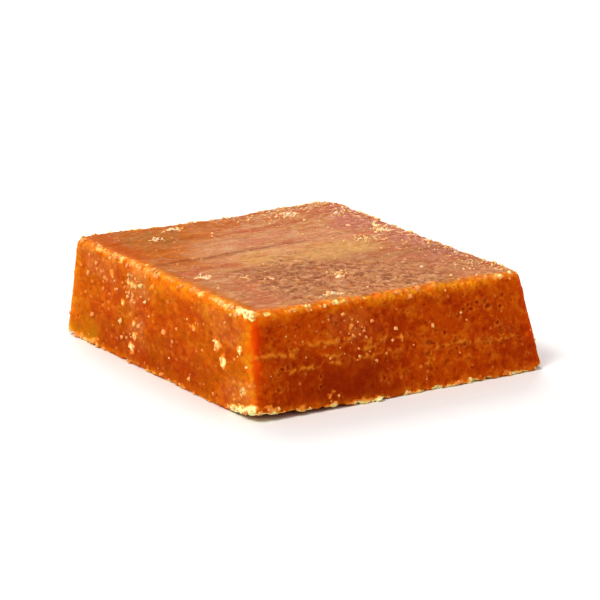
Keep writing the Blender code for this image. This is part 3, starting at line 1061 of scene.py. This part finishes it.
def turned(count):
    """One random turn for each grain, as a matrix."""
    quats = dice.normal(size=(count, 4))
    quats /= np.linalg.norm(quats, axis=1)[:, None]
    w, i, j, k = quats.T
    return np.stack(
        [
            np.stack([1 - 2 * (j * j + k * k), 2 * (i * j - k * w), 2 * (i * k + j * w)], 1),
            np.stack([2 * (i * j + k * w), 1 - 2 * (i * i + k * k), 2 * (j * k - i * w)], 1),
            np.stack([2 * (i * k - j * w), 2 * (j * k + i * w), 1 - 2 * (i * i + j * j)], 1),
        ],
        axis=1,
    )


def grains_at(places, sizes):
    """Faceted grains, half sunk: squarish crystals, each its own size, shape and turn."""
    count = len(places)
    shapes = GRAIN_CORNERS * (1 + dice.uniform(-0.28, 0.28, (count, 8, 3)))
    shapes *= dice.uniform(0.6, 1.25, (count, 1, 3))
    shapes = np.einsum("nij,nkj->nki", turned(count), shapes) * sizes[:, None, None] / 2
    points = (shapes + skin[places][:, None, :]).reshape(-1, 3)
    points[:, 2] = np.maximum(points[:, 2], 0.0)
    faces = (GRAIN_FACES[None] + 8 * np.arange(count)[:, None, None]).reshape(-1, 4)
    return points, faces


# More along the top's rims, in the clusters and on the crust, and none underneath. The left and
# the front have fewer, and bigger ones.
not_under = 1 - on_foot
speckle = 0.004 - 0.0025 * on_top + 0.06 * frost + 0.8 * cluster + 0.1 * crust
speckle += 0.03 * at_top_edge + 0.04 * shelf
fewer, bigger = 1 - 0.4 * on_left - 0.3 * on_front, 1 + 0.35 * on_left + 0.22 * on_front
weights = speckle * not_under * fewer
places, sizes = scatter(weights, GRAIN_COUNT, GRAIN_SMALLEST, GRAIN_SPREAD)
points, faces = grains_at(places, sizes * bigger[places])
grain_mesh = new_mesh("sugar_grains", points, faces)
# How pale: palest in the clusters and by the right and back rims, and deeper along the others.
bright = cluster * (0.3 + 0.3 * on_top) + 0.2 * on_top - 0.25 * on_front + 0.2 * shelf
bright -= 0.4 * at_top_edge * (1 - soft_step(from_left, 2.0, 8.0)) * soft_step(y, -42.0, -30.0)
bright -= 0.4 * at_top_edge * (1 - soft_step(from_front, 2.0, 8.0)) * band(x, 0.0, 34.0, 6.0)
paleness = np.clip(dice.beta(1.1, 2.2, GRAIN_COUNT) + bright[places] + 0.15 * crust[places], 0, 1)
add_marks(grain_mesh, {"pale": np.repeat(paleness, 8), "rosy": np.repeat(inland[places], 8)})
grains = new_object("sugar_grains", grain_mesh)

GRAIN_DEEP = (0.9, 0.38, 0.14, 1)
GRAIN_CREAM = (0.95, 0.6, 0.26, 1)
GRAIN_WHITE = (0.98, 0.85, 0.47, 1)
GRAIN_ROSY = (0.97, 0.72, 0.5, 1)
crystal, grain_tree, grain_shader = new_material("sugar_crystal")
pale = mark(grain_tree, "pale")
tint = cloud(grain_tree, 0.0007, 1.0)
palest = blend(grain_tree, mark(grain_tree, "rosy"), GRAIN_WHITE, GRAIN_ROSY)
grain_colour = coats(
    grain_tree,
    GRAIN_DEEP,
    (
        (ramp(grain_tree, pale, 0.1, 0.6), GRAIN_CREAM),
        (ramp(grain_tree, pale, 0.65, 0.95), palest),
        (ramp(grain_tree, tint, 0.5, 0.75, 0, 0.35), GRAIN_DEEP),
    ),
)
feed_inputs(
    grain_tree,
    grain_shader,
    Base_Color=grain_colour,
    Roughness=ramp(grain_tree, tint, 0.3, 0.7, 0.3, 0.6),
    Specular_IOR_Level=0.25,
    Subsurface_Weight=0.5,
    Subsurface_Radius=(1.0, 0.6, 0.3),
    Subsurface_Scale=0.0006,
)
grain_mesh.materials.append(crystal)
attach(grains, "root")

# ---------------------------------------------------------------------------
# Sugar clumps. Grains stick together in lumpy crumbs as the damp sugar dries. Most of them hang
# on the crust along the foot and the top's rims, and the rest lie in the clusters.
# ---------------------------------------------------------------------------

CLUMP_COUNT, CLUMP_SMALLEST, CLUMP_SPREAD = 220, 0.6, 1.1
ball = bpy.data.meshes.new("ball")
shape = bmesh.new()
bmesh.ops.create_icosphere(shape, subdivisions=2, radius=1.0)
shape.to_mesh(ball)
shape.free()
ball_points = np.array([vertex.co for vertex in ball.vertices])
ball_faces = np.array([face.vertices for face in ball.polygons])

clump_weight = crust * (0.6 * at_top_edge + at_foot_edge + 0.25)
clump_weight = clump_weight + 0.02 * at_top_edge + 0.06 * at_foot_edge + 0.4 * cluster
places, sizes = scatter(clump_weight * not_under, CLUMP_COUNT, CLUMP_SMALLEST, CLUMP_SPREAD)
clump_points, clump_faces, clump_pale, clump_rosy = [], [], [], []
turns = turned(CLUMP_COUNT)
for number, (index, size) in enumerate(zip(places, sizes)):
    spots = (ball_points * 1.6 + number * 7.3).tolist()
    rough = np.array([noise.fractal(spot, 0.7, 2.3, 3) for spot in spots])
    body = ball_points * (1 + 0.45 * rough)[:, None] * dice.uniform(0.65, 1.15, 3)
    body = body @ turns[number].T * size / 2
    body += skin[index] - outward[index] * size * 0.1
    body[:, 2] = np.maximum(body[:, 2], 0.0)
    clump_points.append(body)
    clump_faces.append(ball_faces + number * len(ball_points))
    paleness = np.clip(dice.beta(1.4, 2.0) + bright[index], 0, 1)
    clump_pale.append(np.full(len(ball_points), paleness))
    clump_rosy.append(np.full(len(ball_points), inland[index]))
clump_mesh = new_mesh("sugar_clumps", np.concatenate(clump_points), np.concatenate(clump_faces))
add_marks(clump_mesh, {"pale": np.concatenate(clump_pale), "rosy": np.concatenate(clump_rosy)})
clump_mesh.materials.append(crystal)
clumps = new_object("sugar_clumps", clump_mesh)
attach(clumps, "root")

# ---------------------------------------------------------------------------
# The floor. A sheet of matt white paper, wide enough to fill the view. It lies a hair below the
# block's foot, so the two never share a plane.
# ---------------------------------------------------------------------------

FLOOR_REACH, FLOOR_DROP = 4.0, 0.00002
floor_corners = np.array([(-1, -1, 0), (1, -1, 0), (1, 1, 0), (-1, 1, 0)]) * FLOOR_REACH
floor_mesh = new_mesh("floor", floor_corners - (0, 0, FLOOR_DROP), np.array([(0, 1, 2, 3)]))
floor = new_object("floor", floor_mesh)
paper, paper_tree, paper_shader = new_material("white_paper")
PAPER_GREY, PAPER_WHITE = (0.86, 0.86, 0.86, 1), (0.89, 0.89, 0.89, 1)
paper_colour = blend(paper_tree, cloud(paper_tree, 0.05), PAPER_GREY, PAPER_WHITE)
feed_inputs(
    paper_tree, paper_shader, Base_Color=paper_colour, Roughness=0.8, Specular_IOR_Level=0.1
)
floor_mesh.materials.append(paper)

# ---------------------------------------------------------------------------
# The studio. A white sky lights the block evenly from all round. One large soft lamp stands high
# on the left and gives the block its bright side, and a broader one behind lights its top.
# ---------------------------------------------------------------------------

SKY = 0.46
LIT_SPOT = Vector((0.0, 0.0, 0.015))
world = bpy.data.worlds.new("studio")
bpy.context.scene.world = world
world.use_nodes = True
world.node_tree.nodes["Background"].inputs[0].default_value = (1, 1, 1, 1)
world.node_tree.nodes["Background"].inputs[1].default_value = SKY


def soft_light(name, place, size, power, colour=(1, 1, 1)):
    lamp = bpy.data.lights.new(name, "AREA")
    lamp.shape = "DISK"
    lamp.size = size
    lamp.energy = power
    lamp.color = colour
    made = new_object(name, lamp)
    made.location = place
    made.rotation_euler = (LIT_SPOT - Vector(place)).to_track_quat("-Z", "Y").to_euler()


soft_light("key", (-2.25, -0.3, 3.00), 1.35, 57.0, colour=(1.0, 0.98, 0.95))
soft_light("back", (0.9, 3.0, 2.7), 2.7, 54.0)

# ---------------------------------------------------------------------------
# The camera. A long lens, held a little above the block and to the left of its front. It is
# turned to the middle of the block's box.
# ---------------------------------------------------------------------------

EYE_PLACE = (-0.43067, -0.63697, 0.23242)
EYE_DIP, EYE_TURN = 16.068, -31.301
LENS, CLIP_END = 153.0, 50.0
eye = bpy.data.cameras.new("camera")
eye.lens = LENS
eye.clip_end = CLIP_END
camera = new_object("camera", eye)
camera.location = EYE_PLACE
aim = Vector([(low + high) / 2 for low, high in zip(*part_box("jaggery_block"))])
first_look = Euler((math.radians(90 - EYE_DIP), 0.0, math.radians(EYE_TURN))).to_quaternion()
first_axis = first_look @ Vector((0, 0, -1))
turn = first_axis.rotation_difference(aim - camera.location)
camera.rotation_euler = (turn @ first_look).to_euler()
bpy.context.scene.camera = camera
bpy.context.scene.view_settings.view_transform = "Standard"
bpy.context.scene.view_settings.look = "High Contrast"


def plain(bounds):
    return [[float(value) for value in point] for point in bounds]
